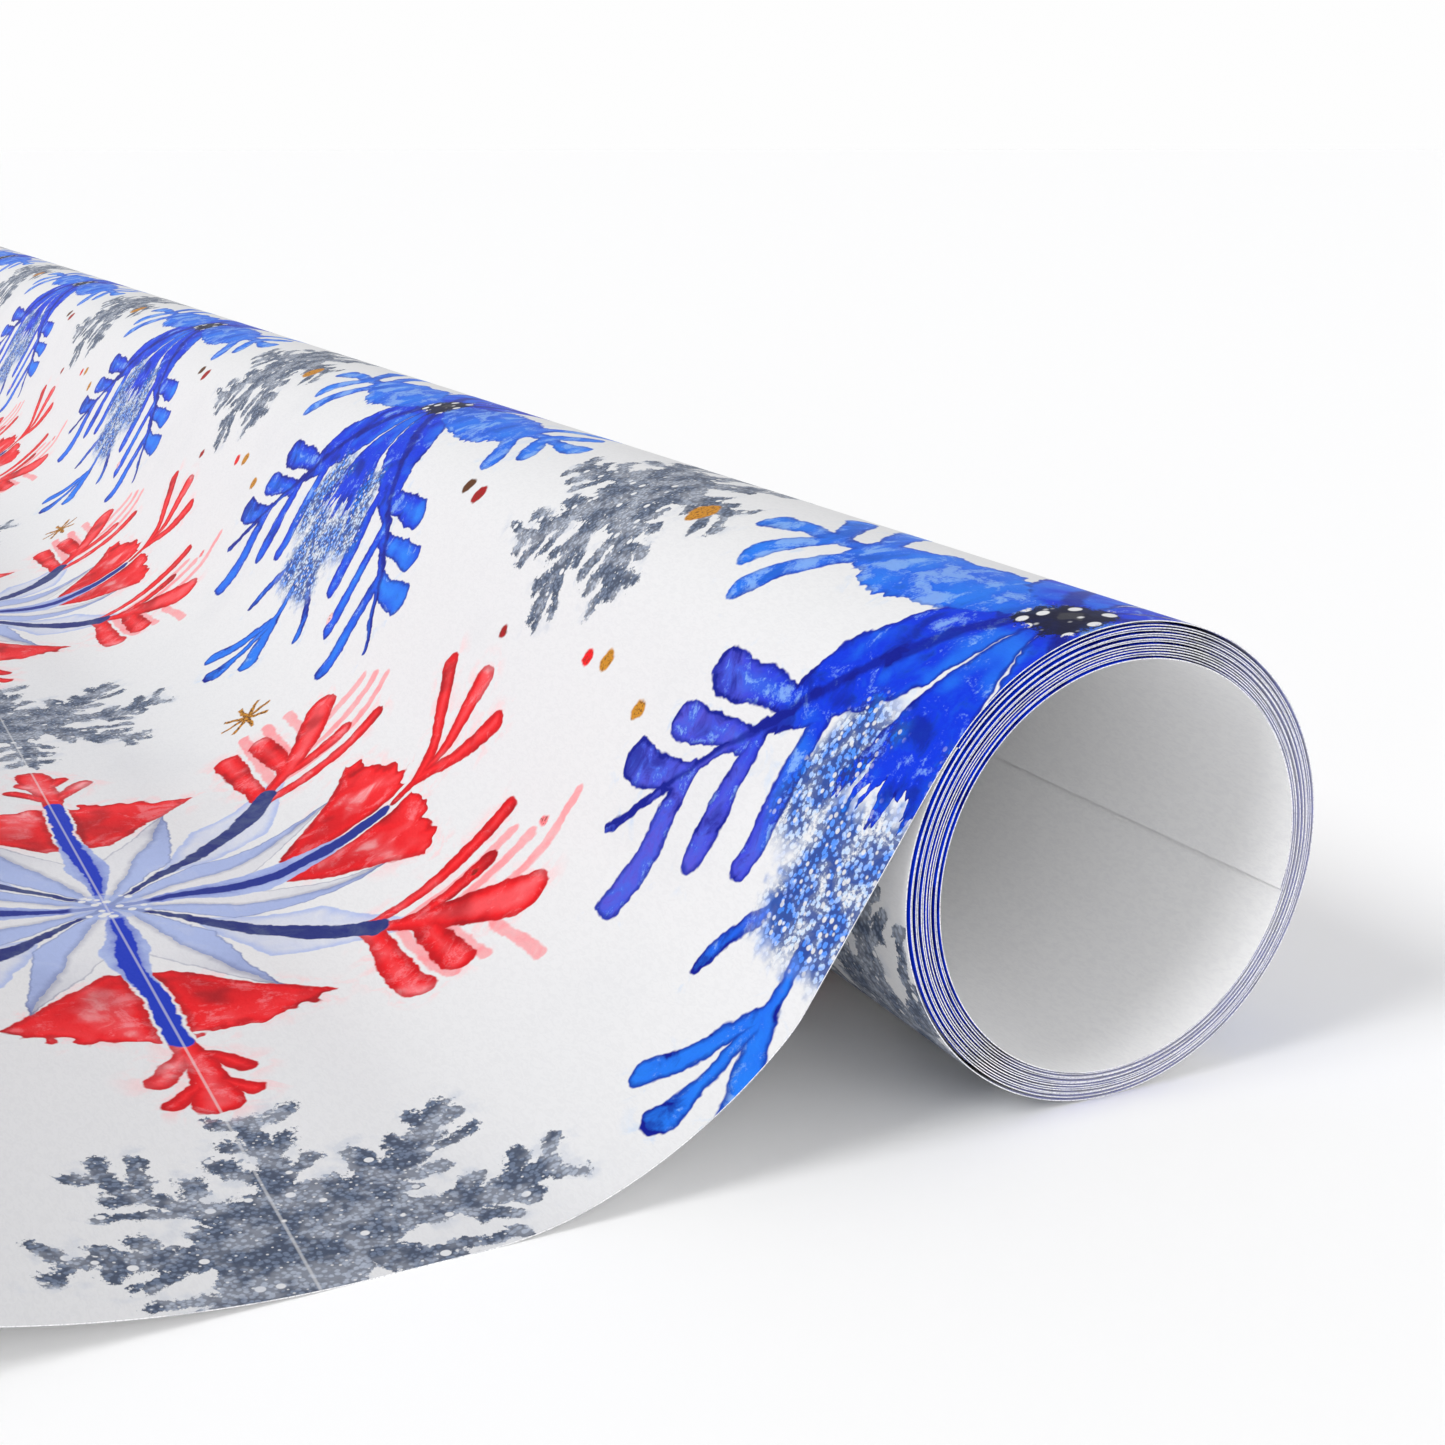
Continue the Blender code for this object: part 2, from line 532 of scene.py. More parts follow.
def from_arm(angle):
    """Angle measured from the nearest arm of eight, and that arm's number from -4 to 4."""
    arm = (angle * (1.0 / ARM_ANGLE)).math("ROUND")
    return angle - arm * ARM_ANGLE, arm


def turned(x, y, degrees):
    """The same place measured along and across an arm at an angle."""
    c = cos(radians(degrees))
    s = sin(radians(degrees))
    return x * c + y * s, y * c - x * s


def stroke(along, across, start, end, width):
    """Distance from a straight stroke with round ends, negative inside it."""
    return length(along - held(along, start, end), across) - width


def fingers(along, across, first, spacing, last, slant, reach, width):
    """Distance from a row of slanting strokes down one side of an arm, as in a fern.

    They are numbered from 0 to last, and reach gives a finger's length from its number."""
    c = cos(radians(slant))
    s = sin(radians(slant))
    foot = along - across * (c / s)
    number = held(((foot - first) / spacing).math("ROUND"), 0.0, last)
    out = along - (first + number * spacing)
    t = out * c + across * s
    n = across * c - out * s
    tip = reach(number)
    return length(t - held(t, 0.0, tip), n) - width - ramp(t, 0.0, tip) * (width * 0.35)


def uneven(tree, quarter, family, longest, less, spread=4.0):
    """Lengths of fingers: each is shorter than the one before it, and strays by chance."""

    def reach(number):
        luck = chance(tree, number, quarter, family)[0]
        return longest - number * less + (luck - 0.5) * spread

    return reach


def hand_drawn(tree, x, y, seed, slow, quick):
    """The place, shifted as a hand wobbles and as wet paint creeps, and the flat place for washes."""
    flat = vector(tree, x, y, seed)
    wobble = noises(tree, flat, scale=0.075, detail=1.0)
    creep = noises(tree, flat, scale=0.5, detail=2.0, roughness=0.6)
    x = x + (wobble[0] - 0.5) * slow + (creep[0] - 0.5) * quick
    y = y + (wobble[1] - 0.5) * slow + (creep[1] - 0.5) * quick
    return flat, x, y


def inked(distance, soft=0.13):
    """1 inside an outline, 0 outside."""
    return ramp(distance, soft, -soft)


# In the flakes, x and y are the place from the flake's heart along the roll and along the sheet, ax
# and ay the same without their signs, r the distance from the heart, and p and q the place along and
# across the nearest diagonal arm. The level arms run along the roll and the upright ones along the
# sheet.


def blue_arms(tree, x, y, ragged):
    """Distances from the blue flake's diagonal, upright and level arms."""
    quarter = quarter_of(x, y)
    ax = abs(x)
    ay = abs(y)
    p, q = turned(ax, ay, 45.0)

    # Stubs on the side of the level arm, long fingers on the side of the upright one.
    axis = stroke(p, q, start=3.0, end=53.0, width=0.55 + ramp(p, 56.0, 20.0) * 0.7)
    stub_reach = uneven(tree, quarter, family=1.0, longest=12.5, less=1.3)
    stubs = fingers(p, -q, first=25.5, spacing=8.4, last=2.0, slant=45.0, reach=stub_reach, width=1.75)
    tine_reach = uneven(tree, quarter, family=2.0, longest=18.0, less=2.8)
    tines = fingers(p, q, first=20.0, spacing=10.6, last=2.0, slant=45.0, reach=tine_reach, width=1.35)
    body = most(abs(q) - held(6.4 - abs(p - 15.0) * 0.36, 0.4, 5.2), abs(p - 15.0) - 14.0)
    diagonal = least(least(axis, stubs), least(tines, body + ragged * 0.25))

    # A blade with a torn end, then past the lace a stem with three round tips.
    torn = (noise(tree, vector(tree, x * 0.9, y * 0.10, 11.0), scale=1.0, detail=1.0) - 0.5) * 17.0
    blade = most(ax - (ay - 1.0) * 0.36, ay - 23.5 + torn) + ragged * 0.6 * ramp(ay, 15.0, 23.0)
    stem = stroke(ay, x, start=36.0, end=53.0, width=0.9 + ramp(ay, 48.0, 54.0) * 1.0)
    tip_reach = uneven(tree, quarter, family=3.0, longest=11.0, less=0.0)
    tips = fingers(ay, ax, first=42.0, spacing=40.0, last=0.0, slant=34.0, reach=tip_reach, width=1.15)
    prong_reach = uneven(tree, quarter, family=4.0, longest=13.0, less=0.0)
    prongs = fingers(
        ay - 2.0, ax - 5.0, first=31.0, spacing=40.0, last=0.0, slant=36.0, reach=prong_reach, width=0.7
    )
    upright = least(least(blade, stem), least(tips, prongs))

    # Soft blots with a few fingers.
    blot = most(ay - held(7.4 - abs(ax - 19.0) * 0.34, 0.3, 5.4), abs(ax - 18.0) - 16.0)
    bough = stroke(ax, y, start=20.0, end=50.0, width=1.0 + ramp(ax, 42.0, 50.0) * 0.8)
    twig_reach = uneven(tree, quarter, family=5.0, longest=14.0, less=5.0)
    twigs = fingers(ax, ay, first=29.0, spacing=9.0, last=1.0, slant=42.0, reach=twig_reach, width=1.35)
    level = least(least(blot + ragged * 0.5, bough), twigs)
    return diagonal, upright, level


def blue_tone(tree, flat, v, x, y, flake, is_level, wash, grain):
    """The watercolour inside the blue flake: paler on the level arms, pooled and dark at the edges."""
    r = length(x, y)
    ax = abs(x)
    ay = abs(y)
    q = turned(ax, ay, 45.0)[1]
    pool = noise(tree, flat, scale=0.13, detail=2.0, roughness=0.6)

    thinned = ramp(r, 30.0, 56.0) * 0.5 + is_level * 0.5 + (wash - 0.5) * 1.6
    tone = paint(tree, COBALT, AZURE, share(thinned))
    glow = ramp(flake, -0.7, -2.0) * ramp(r, 22.0, 34.0) * 0.5 + ramp(pool, 0.52, 0.68) * 0.6
    tone = paint(tree, tone, AZURE, share(glow))
    watery = ramp(ay, 30.0, 46.0) * ramp(ax, 17.0, 12.0) * (0.35 + wash * 0.7)
    tone = paint(tree, tone, AZURE, share(watery))

    # One diagonal arm of the flakes nearest the roll's near end turns violet.
    violet_quarter = inked(abs(quarter_of(x, y) - 3.0) - 0.5, 0.01) * ramp(v, 62.0, 50.0)
    violet_arm = violet_quarter * ramp(r, 24.0, 40.0) * ramp(abs(q), 19.0, 15.0)
    tone = paint(tree, tone, VIOLET, share(violet_arm * (0.7 + (wash - 0.5) * 2.5)))

    bleached = ramp(wash + (grain - 0.5) * 0.3 - is_level * 0.08, 0.44, 0.30)
    tone = paint(tree, tone, PALE_BLUE, bleached * 0.6)
    vein = ramp(abs(q + 0.3) + r * 0.012, 1.25, 0.55) * 0.8
    edge = ramp(flake, -0.75, -0.1)
    dark = ramp(wash + (pool - 0.5) * -1.2, 0.52, 0.76) * 0.75 + edge * 0.75 + vein
    return paint(tree, tone, ULTRAMARINE, share(dark * (1.0 - is_level * 0.5)))


def blue_flake(tree, colour, u, v):
    x, y = from_nearest(v, u, BLUE_AT)
    flat, x, y = hand_drawn(tree, x, y, seed=3.0, slow=4.4, quick=1.3)
    r = length(x, y)
    ax = abs(x)
    ay = abs(y)
    grain = noise(tree, flat, scale=3.0, detail=3.0, roughness=0.7)
    wash = noise(tree, flat, scale=0.30, detail=4.0, roughness=0.62, distortion=0.6)
    ragged = (noise(tree, flat, scale=0.85, detail=1.0) - 0.5) * 3.6

    diagonal, upright, level = blue_arms(tree, x, y, ragged)
    flake = least(least(diagonal, upright), level)
    is_level = ramp(level - least(diagonal, upright), 0.6, -0.6)
    tone = blue_tone(tree, flat, v, x, y, flake, is_level, wash, grain)

    # Lace: a stipple of crumbs and holes past the blade, and between the arms.
    lace_upright = ramp(abs(ay - 31.0) + ragged, 9.0, 5.0) * ramp(ax + ragged, 9.5, 5.5)
    lace_between = ramp(abs(r - 24.0), 9.0, 5.0) * ramp(abs(turned(ax, ay, 68.0)[1]), 4.6, 2.6)
    lace = most(lace_upright, lace_between) * ramp(wash + (grain - 0.5) * 0.4, 0.30, 0.46)
    crumbs = cells(tree, flat, scale=1.5)
    holes = ramp(cells(tree, flat, scale=0.95), 0.30, 0.20)
    halo = ramp(flake, 3.0, 0.0) * ramp(wash, 0.56, 0.7) * 0.30

    colour = paint(tree, colour, PALE_BLUE, share(halo + lace * 0.6))
    colour = paint(tree, colour, tone, inked(flake) * (1.0 - lace_upright * 0.45 * ramp(ay, 26.0, 30.0)))
    colour = paint(tree, colour, AZURE, lace * ramp(wash, 0.42, 0.58) * 0.85)
    colour = paint(tree, colour, NAVY, lace * ramp(crumbs + (grain - 0.5) * 0.6, 0.40, 0.50) * 0.8)
    colour = paint(tree, colour, WHITE, lace * holes * 0.85)

    heart = ramp(r + (grain - 0.5) * 4.0 + (wash - 0.5) * 5.0, 4.4, 3.6)
    colour = paint(tree, colour, INK, heart * 0.95)
    pearls = inked(cells(tree, flat, scale=0.62) - 0.36, 0.05)
    return paint(tree, colour, WHITE, heart * pearls)


def red_twigs(tree, quarter, a, b, p, q, upright):
    """Distances from the red flake's twigs: the full red ones, and thin pink ones behind them."""
    twig_width = pick(upright, 1.1, 0.8) + ramp(a, 36.0, 52.0) * 1.2
    twig = stroke(a, b, start=pick(upright, 38.0, 34.0), end=51.5, width=twig_width)
    side_reach = uneven(tree, quarter, family=7.0, longest=pick(upright, 7.5, 15.5), less=2.5, spread=3.0)
    side_twigs = fingers(
        a, b, first=pick(upright, 40.0, 37.5), spacing=5.5, last=pick(upright, 1.0, 0.0), slant=38.0,
        reach=side_reach, width=pick(upright, 0.85, 1.15),
    )
    drop = stroke(p, q, start=34.0, end=52.0, width=0.9 + ramp(p, 32.0, 50.0) * 1.9)
    flat_reach = uneven(tree, quarter, family=8.0, longest=17.5, less=4.0)
    flats = fingers(p, -q, first=32.0, spacing=6.8, last=1.0, slant=45.0, reach=flat_reach, width=1.3)
    climb_reach = uneven(tree, quarter, family=9.0, longest=20.0, less=8.5)
    climbers = fingers(p, q, first=31.0, spacing=6.5, last=1.0, slant=45.0, reach=climb_reach, width=1.05)
    cluster = least(drop, least(flats, climbers))
    thin_reach = uneven(tree, quarter, family=11.0, longest=17.0, less=2.0, spread=8.0)
    thin = fingers(
        p, abs(q), first=35.5, spacing=5.2, last=2.0, slant=42.0, reach=thin_reach, width=0.62
    )
    return least(cluster, least(twig, side_twigs)), thin


def red_tone(tree, flat, a, r, reds, fan, wash, grain):
    """The watercolour inside the red fans and twigs."""
    pool = noise(tree, flat, scale=0.12, detail=2.0, roughness=0.6)
    pale = ramp(wash + (grain - 0.5) * 0.25, 0.47, 0.33)
    glow = ramp(reds, -0.6, -2.2) * ramp(r, 30.0, 46.0) * 0.35 + ramp(pool, 0.52, 0.68) * 0.45
    tone = paint(tree, SCARLET, PINK, share(pale * 0.6 + glow))
    tone = paint(tree, tone, BLUSH, ramp(pool + (wash - 0.5) * 0.5, 0.62, 0.76) * 0.6)
    edge = ramp(reds, -1.1, -0.1)
    root = ramp(fan, 0.5, -3.0) * ramp(a, 34.0, 24.0)
    return paint(tree, tone, CRIMSON, share(ramp(pool, 0.48, 0.30) * 0.7 + edge * 0.6 + root * 0.55))


def red_flake(tree, colour, u, v):
    """The red flake. a and b are the place along and across the nearest of the level and upright
    spokes, and upright is 1 where that is an upright one."""
    x, y = from_nearest(v, u, RED_AT)
    flat, x, y = hand_drawn(tree, x, y, seed=40.0, slow=3.0, quick=1.1)
    quarter = quarter_of(x, y)
    r = length(x, y)
    ax = abs(x)
    ay = abs(y)
    upright = ay.math("GREATER_THAN", ax)
    a = most(ax, ay)
    b = least(ax, ay)
    p, q = turned(ax, ay, 45.0)
    grain = noise(tree, flat, scale=3.0, detail=3.0, roughness=0.7)
    wash = noise(tree, flat, scale=0.26, detail=4.0, roughness=0.62, distortion=0.8)
    ragged = (noise(tree, flat, scale=0.42, detail=1.0, roughness=0.5) - 0.5) * 5.0

    # Fans beside the spokes, and twigs beyond them.
    flank = ((b - 3.4) - (a - 20.0)) * 0.70
    fan = most(most(flank, r - 37.0 + ragged * ramp(r, 30.0, 37.0)), 1.5 - b)
    fan = most(fan, 20.0 + ragged * 0.4 - a)
    twigs, thin = red_twigs(tree, quarter, a, b, p, q, upright)
    reds = least(fan, twigs)
    tone = red_tone(tree, flat, a, r, reds, fan, wash, grain)

    # Pale kites between the spokes, each with a lit and a shaded half.
    kp, kq = turned(a, b, 22.5)
    kite = abs(kq) - least(kp * 0.29, (31.0 - kp) * 0.25)
    shaded_half = pick(kq.math("GREATER_THAN", 0.0), 0.05, 1.0)
    kite_tone = paint(tree, WHITE, LAVENDER, share(shaded_half * (0.55 + wash)))
    shade = ramp(kite, -0.35, 0.0) * 0.4 + ramp(kp, 12.0, 30.0) * 0.45 * wash + ramp(abs(kq), 0.9, 0.0) * 0.3
    kite_tone = paint(tree, kite_tone, NAVY, share(shade))
    outer = abs(q) - least((p - 10.0) * 0.40, (40.0 - p) * 0.34)
    outer_tone = paint(tree, WHITE, LAVENDER, share(wash * 0.8 + ramp(outer, -1.6, 0.0) * 0.6))

    # Leaves along the spokes, and the spokes and ribs themselves.
    leaf = b - least(a * 0.19, (33.0 - a) * pick(upright, 0.13, 0.22))
    leaf_tone = paint(tree, LAVENDER, ROYAL, share(ramp(b, 2.0, 0.2) * 0.5 + (wash - 0.4)))
    spoke = stroke(a, b, start=0.5, end=pick(upright, 38.0, 32.0), width=0.4 + ramp(a, 0.0, 18.0) * 0.75)
    spoke_tone = paint(tree, ROYAL, NAVY, upright * 0.75)
    rib = stroke(p, q, start=0.5, end=33.0, width=0.35 + ramp(p, 2.0, 30.0) * 1.25)
    rib_tone = paint(tree, NAVY, SLATE, ramp(wash, 0.4, 0.7) * 0.4)

    blush = ramp(reds, 3.2, 0.0) * ramp(wash, 0.47, 0.62) * 0.55
    colour = paint(tree, colour, BLUSH, blush * ramp(r, 18.0, 26.0))
    colour = paint(tree, colour, outer_tone, inked(outer) * 0.85)
    colour = paint(tree, colour, PINK, inked(thin, 0.2) * (0.35 + wash * 0.7))
    colour = paint(tree, colour, tone, inked(reds))
    colour = paint(tree, colour, kite_tone, inked(kite) * 0.95)
    colour = paint(tree, colour, leaf_tone, inked(leaf) * 0.95)
    colour = paint(tree, colour, rib_tone, inked(rib))
    colour = paint(tree, colour, spoke_tone, inked(spoke))
    pearls = inked(cells(tree, flat, scale=0.75) - 0.34, 0.05) * ramp(r, 4.6, 3.8)
    colour = paint(tree, colour, LAVENDER, ramp(r, 4.4, 3.6) * 0.6)
    return paint(tree, colour, WHITE, pearls)


def frost_flakes(tree, colour, u, v):
    """The two grey flakes, worked out together because they never meet: slate is 1 nearer to the
    darker one. Here p and q are the place along and across the nearest of eight arms."""
    sx, sy = from_nearest(v, u, SILVER_AT)
    gx, gy = from_nearest(v, u, SLATE_AT)
    slate = (sx * sx + sy * sy).math("GREATER_THAN", gx * gx + gy * gy)
    flat, x, y = hand_drawn(
        tree, pick(slate, sx, gx), pick(slate, sy, gy), seed=slate * 31.0 + 200.0, slow=5.5, quick=2.8
    )
    local, arm = from_arm(y.math("ARCTAN2", x))
    arm = (arm + ARMS).math("MODULO", ARMS)
    r = length(x, y)
    p = r * local.math("COSINE")
    q = r * local.math("SINE")
    side = q.math("SIGN")
    q = abs(q)
    luck = chance(tree, arm, slate, 3.0)

    def fern_reach(number):
        return 5.4 - number * 1.3 + (chance(tree, arm * side, number, slate)[0] - 0.4) * 4.0

    stem_width = 1.5 + luck[1] * 0.6 - ramp(p, 8.0, 24.0) * 1.0
    stem = stroke(p, q, start=0.0, end=17.0 + luck[0] * 6.0, width=stem_width)
    fern = fingers(p, q, first=9.5, spacing=4.4, last=2.0, slant=44.0, reach=fern_reach, width=0.72)
    grain = noise(tree, flat, scale=2.0, detail=3.0, roughness=0.75)
    wash = noise(tree, flat, scale=0.26, detail=3.0, roughness=0.6)
    core = r - 7.6 - luck[2] * 3.0 - (wash - 0.5) * 6.0
    frost = least(least(stem, fern), core) + (grain - 0.5) * 2.1

    fade = ramp(wash, 0.42, 0.62)
    tone = paint(tree, SLATE, SLATE_LIGHT, share(fade * 0.6 + (grain - 0.5) * 1.2))
    glitter = cells(tree, flat, scale=2.1)
    tone = paint(tree, tone, SLATE_DARK, ramp(glitter + (grain - 0.5) * 0.7, 0.36, 0.60) * 0.75)
    tone = paint(tree, tone, WHITE, ramp(cells(tree, flat, scale=1.3), 0.20, 0.12) * 0.8)
    bubbles = ramp(cells(tree, flat, scale=0.40), 0.15, 0.19)
    colour = paint(tree, colour, SLATE_LIGHT, ramp(frost, 2.4, 0.0) * ramp(wash, 0.5, 0.66) * 0.35)
    return paint(tree, colour, tone, inked(frost) * (0.98 - fade * 0.22) * bubbles)


def small_marks(tree, colour, u, v):
    """Dots, and a small gold star of eight rays."""
    flat, x, y = hand_drawn(tree, v, u, seed=90.0, slow=0.0, quick=1.2)
    grain = noise(tree, flat, scale=2.4, detail=2.0, roughness=0.7)
    for along_roll, along_sheet, radius, dot_colour in DOTS:
        away = length(*from_nearest(x, y, (along_roll, along_sheet))) - radius
        fleck = paint(tree, dot_colour, BROWN, ramp(grain, 0.5, 0.62) * 0.7)
        colour = paint(tree, colour, fleck, inked(away, 0.2))
    sx, sy = from_nearest(x, y, STAR_AT)
    local = from_arm(sy.math("ARCTAN2", sx))[0]
    r = length(sx, sy)
    ray = most(abs(r * local.math("SINE")) - STAR_RAY_WIDTH + r * 0.04, r - STAR_REACH)
    return paint(tree, colour, paint(tree, GOLD, BROWN, ramp(grain, 0.46, 0.56)), inked(ray, 0.12))


def build_print(tree, place):
    """Nodes for the printed colour, from place, the spot on the flat sheet in metres."""
    u, v = sheet_millimetres(tree, place)
    cloud = noise(tree, vector(tree, u, v, 7.0), scale=0.03, detail=3.0, roughness=0.6)
    colour = paint(tree, WHITE, CLOUDED_WHITE, ramp(cloud, 0.52, 0.72) * 0.35)
    colour = frost_flakes(tree, colour, u, v)
    colour = red_flake(tree, colour, u, v)
    colour = blue_flake(tree, colour, u, v)
    colour = small_marks(tree, colour, u, v)
    seam = inked(abs(repeated(u, SEAM_AT, ALONG_REPEAT)) - SEAM_WIDTH, 0.08)
    return paint(tree, colour, WHITE, seam * 0.45)


def build_wound_print(tree, place):
    """Nodes for the printed colour of the wound turns."""
    u, v = sheet_millimetres(tree, place)
    flat, x, y = hand_drawn(tree, v, u, seed=7.0, slow=6.0, quick=3.0)
    wash = noise(tree, flat, scale=0.35, detail=2.0, roughness=0.6)
    spread = ramp(v, *SPREAD_EASES) * (SPREAD_AT_END - SPREAD) + SPREAD
    colour = WHITE
    for centre, radius, arm_depth, light, dark in WOUND_FLAKES:
        fx, fy = from_nearest(x, y, centre)
        petals = (fy.math("ARCTAN2", fx) * ARMS).math("COSINE") * arm_depth + 1.0
        star = inked(length(fx, fy) - petals * spread * radius, 0.4)
        colour = paint(tree, colour, paint(tree, light, dark, ramp(wash, 0.45, 0.65)), star)
    return colour


# ---------------------------------------------------------------- materials

FIBRE_SHADE = srgb(228, 228, 230)
BARE_LIGHT = srgb(246, 246, 246)
BARE_SHADED = srgb(234, 234, 236)
# Cut edges: paper white and two greys. The greys are painted shade that darkens the wound turns' edges, as
# the shade in the gaps between turns would. The lighter grey lies in fibre specks, so it is partly the
# fibres' own tone and partly painted shade.
CUT_LIGHT = srgb(240, 240, 241)
CUT_SHADED = srgb(178, 180, 186)
CUT_PAINTED_SHADE = srgb(150, 152, 160)


def new_material(name):
    """A material with its tree, its shader, and the flat place on the sheet as an attribute."""
    material = bpy.data.materials.new(name)
    material.use_nodes = True
    tree = material.node_tree
    place = tree.nodes.new("ShaderNodeAttribute")
    place.attribute_type = "GEOMETRY"
    place.attribute_name = "sheet_place"
    return material, tree, tree.nodes["Principled BSDF"], place.outputs["Vector"]


def bump(tree, height, depth, shader):
    node = tree.nodes.new("ShaderNodeBump")
    node.inputs["Strength"].default_value = 1.0
    node.inputs["Distance"].default_value = depth
    plug(tree, node.inputs["Height"], height)
    tree.links.new(node.outputs["Normal"], shader.inputs["Normal"])


def fibres(tree, place):
    """Paper's surface: felted fibres, a fine tooth and slow cloudiness."""
    stretched = tree.nodes.new("ShaderNodeMapping")
    stretched.inputs["Scale"].default_value = (1.0, 0.35, 1.0)
    stretched.inputs["Rotation"].default_value = (0.0, 0.0, radians(8.0))
    tree.links.new(place, stretched.inputs["Vector"])
    felt = noise(tree, stretched.outputs[0], scale=2600.0, detail=3.0, roughness=0.6, distortion=1.2)
    tooth = noise(tree, place, scale=6500.0, detail=1.0)
    cloud = noise(tree, place, scale=55.0, detail=2.0)
    return felt, tooth, cloud


def printed_face(name, build):
    material, tree, shader, place = new_material(name)
    felt, tooth, cloud = fibres(tree, place)
    shading = share(ramp(felt, 0.42, 0.62) * 0.16 + cloud * 0.06)
    colour = paint(tree, build(tree, place), FIBRE_SHADE, shading, "MULTIPLY")
    plug(tree, shader.inputs["Base Color"], colour)
    plug(tree, shader.inputs["Roughness"], 0.36 + felt * 0.16 + cloud * 0.06)
    shader.inputs["Specular IOR Level"].default_value = 0.08
    bump(tree, felt * 0.7 + tooth * 0.3, 0.012 * MM, shader)
    return material


def bare_face():
    material, tree, shader, place = new_material("bare_face")
    felt, tooth, cloud = fibres(tree, place)
    shading = ramp(felt, 0.38, 0.66) * 0.45 + cloud * 0.35
    plug(tree, shader.inputs["Base Color"], paint(tree, BARE_LIGHT, BARE_SHADED, shading))
    plug(tree, shader.inputs["Roughness"], 0.68 + felt * 0.2)
    shader.inputs["Specular IOR Level"].default_value = 0.3
    bump(tree, felt * 0.6 + tooth * 0.4, 0.02 * MM, shader)
    return material


def cut_edge():
    material, tree, shader, place = new_material("cut_edge")
    frays_and_shade = noise(tree, place, scale=3800.0, detail=3.0, roughness=0.7)
    shade_blotches = noise(tree, place, scale=240.0, detail=2.0)
    # Painted shade: the edge is greyed in fine fibre specks and in wider blotches, standing in for the shade
    # in the gaps between the wound turns. The specks also give the fibres' texture.
    colour = paint(tree, CUT_LIGHT, CUT_SHADED, ramp(frays_and_shade, 0.42, 0.68))
    colour = paint(tree, colour, CUT_PAINTED_SHADE, ramp(shade_blotches, 0.50, 0.62) * 0.4)
    plug(tree, shader.inputs["Base Color"], colour)
    plug(tree, shader.inputs["Roughness"], 0.8 + frays_and_shade * 0.15)
    shader.inputs["Specular IOR Level"].default_value = 0.2
    bump(tree, frays_and_shade, 0.02 * MM, shader)
    return material


# The faces of a strip, in the order of its slots.
BARE_FACE = bare_face()
CUT_EDGE = cut_edge()
OUTER_FACES = [printed_face("printed_face", build_print), BARE_FACE, CUT_EDGE]
WOUND_FACES = [printed_face("printed_face_wound_in", build_wound_print), BARE_FACE, CUT_EDGE]


# ---------------------------------------------------------------- the pieces

# The outermost turn runs on into the straight drop by this much, so that the join is hidden there.
JOIN = 6.0 * MM
HALF_PANEL = PANEL_LENGTH / 2
LANDING_MIDDLE = (LANDING_START + LANDING_END) / 2


def declare(piece, stations, slot, held_as, rests_on, *nodes):
    """Hides the CAD nodes that a piece stands for."""
    flat_length = abs(stations[-1][0] - stations[0][0])
    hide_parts(*nodes)


def lay_outer_turn_and_drop():
    """The outermost turn, the drop, and the landing as far as its middle."""
    stations = coil_stations(360.0, 0.0)[:-1] + leaf_stations(0.0, JOIN)
    turn = strip("outer_turn", stations, SHOWN_COLUMNS, OUTER_FACES)
    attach(turn, "outer_turn")
    declare(turn, stations, "printed_paper", "folded", "floor", "turn_01")

    stations = leaf_stations(JOIN, LANDING_MIDDLE)
    drop = strip("leaf_drop_and_landing", stations, SHOWN_COLUMNS, OUTER_FACES)
    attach(drop, "outer_turn")
    declare(drop, stations, "printed_paper", "laid", "floor", "leaf_drop", "leaf_sweep", "leaf_landing")


def lay_leaf():
    """The leaf's panels, each drawn across a CAD hinge line and attached to no body, and the free edge,
    which rides the last panel's body.
    """
    reached = LANDING_MIDDLE
    body = "outer_turn"
    for k in range(1, LEAF_PANELS + 1):
        panel = f"leaf_panel_{k}"
        hinge = LANDING_END + (k - 1) * PANEL_LENGTH
        stations = leaf_stations(reached, hinge + HALF_PANEL)
        piece = strip(f"{panel}_bend", stations, SHOWN_COLUMNS, OUTER_FACES)
        reach = min(hinge - reached, HALF_PANEL)
        start = leaf_station(hinge - reach)[1]
        end = leaf_station(hinge + reach)[1]
        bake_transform(piece)
        declare(piece, stations, "printed_paper", "laid", "floor", panel)
        reached = hinge + HALF_PANEL
        body = panel
    stations = leaf_stations(reached, LEAF_LENGTH)
    piece = strip("leaf_free_edge", stations, SHOWN_COLUMNS, OUTER_FACES)
    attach(piece, body)
    declare(piece, stations, "printed_paper", "laid", "floor", body)


def wind_inner_turns():
    """Each inner turn as two halves: the first rides its own turn's body, and the second is attached to no
    body."""
    for turn in range(2, WHOLE_TURNS + 1):
        body = f"turn_{turn:02d}"
        angle = 360.0 * (turn - 1)
        stations = coil_stations(angle, angle + 180.0)
        piece = strip(f"{body}_first_half", stations, WOUND_COLUMNS, WOUND_FACES)
        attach(piece, body)
        declare(piece, stations, "paper_back", "folded", body, body)
        stations = coil_stations(angle + 180.0, angle + 360.0)
        piece = strip(f"{body}_second_half", stations, WOUND_COLUMNS, WOUND_FACES)
        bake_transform(piece)
        declare(piece, stations, "paper_back", "folded", body, body)


def wind_inner_end():
    """The last part of a turn, with the sheet's inner edge."""
    stations = coil_stations(360.0 * WHOLE_TURNS, 360.0 * COIL_TURNS)
    piece = strip("inner_end_of_sheet", stations, SHOWN_COLUMNS, WOUND_FACES)
    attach(piece, "inner_end")
    declare(piece, stations, "paper_back", "folded", "turn_13", "inner_end")


lay_outer_turn_and_drop()
lay_leaf()
wind_inner_turns()
wind_inner_end()


# ---------------------------------------------------------------- floor, light and camera

FLOOR_SIZE = 60.0
FLOOR_WHITE = (0.985, 0.985, 0.985, 1.0)
FLOOR_ROUGHNESS = 0.9

